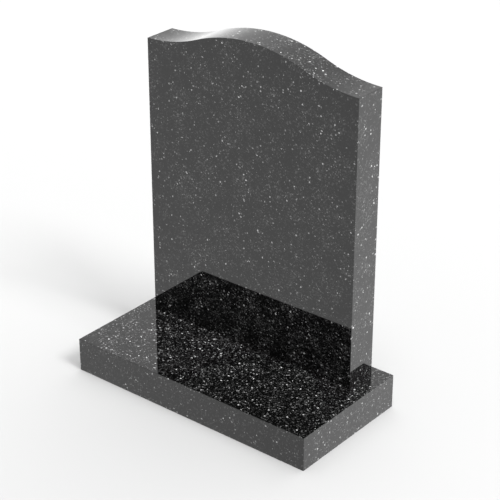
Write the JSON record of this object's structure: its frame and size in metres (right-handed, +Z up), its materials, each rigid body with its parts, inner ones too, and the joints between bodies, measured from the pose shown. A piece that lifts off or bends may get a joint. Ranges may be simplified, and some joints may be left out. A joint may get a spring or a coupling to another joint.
{
  "type": "headstone",
  "caption": "Upright polished dark granite headstone: a plain slab tablet with an ogee top, standing on a flat rectangular base.",
  "frame": {"origin": "middle of the base's underside, where it rests on the ground", "axes": "+Z up through the tablet's crown, +X along the width to the right as the inscription face is read, +Y from the front ledge to the back"},
  "size_m": [0.6096, 0.3048, 0.7623],
  "materials": {
    "base_granite": "polished",
    "tablet_granite": "polished"
  },
  "bodies": {
    "root": {"base": "base_granite", "tablet": "tablet_granite"}
  },
  "joints": []
}
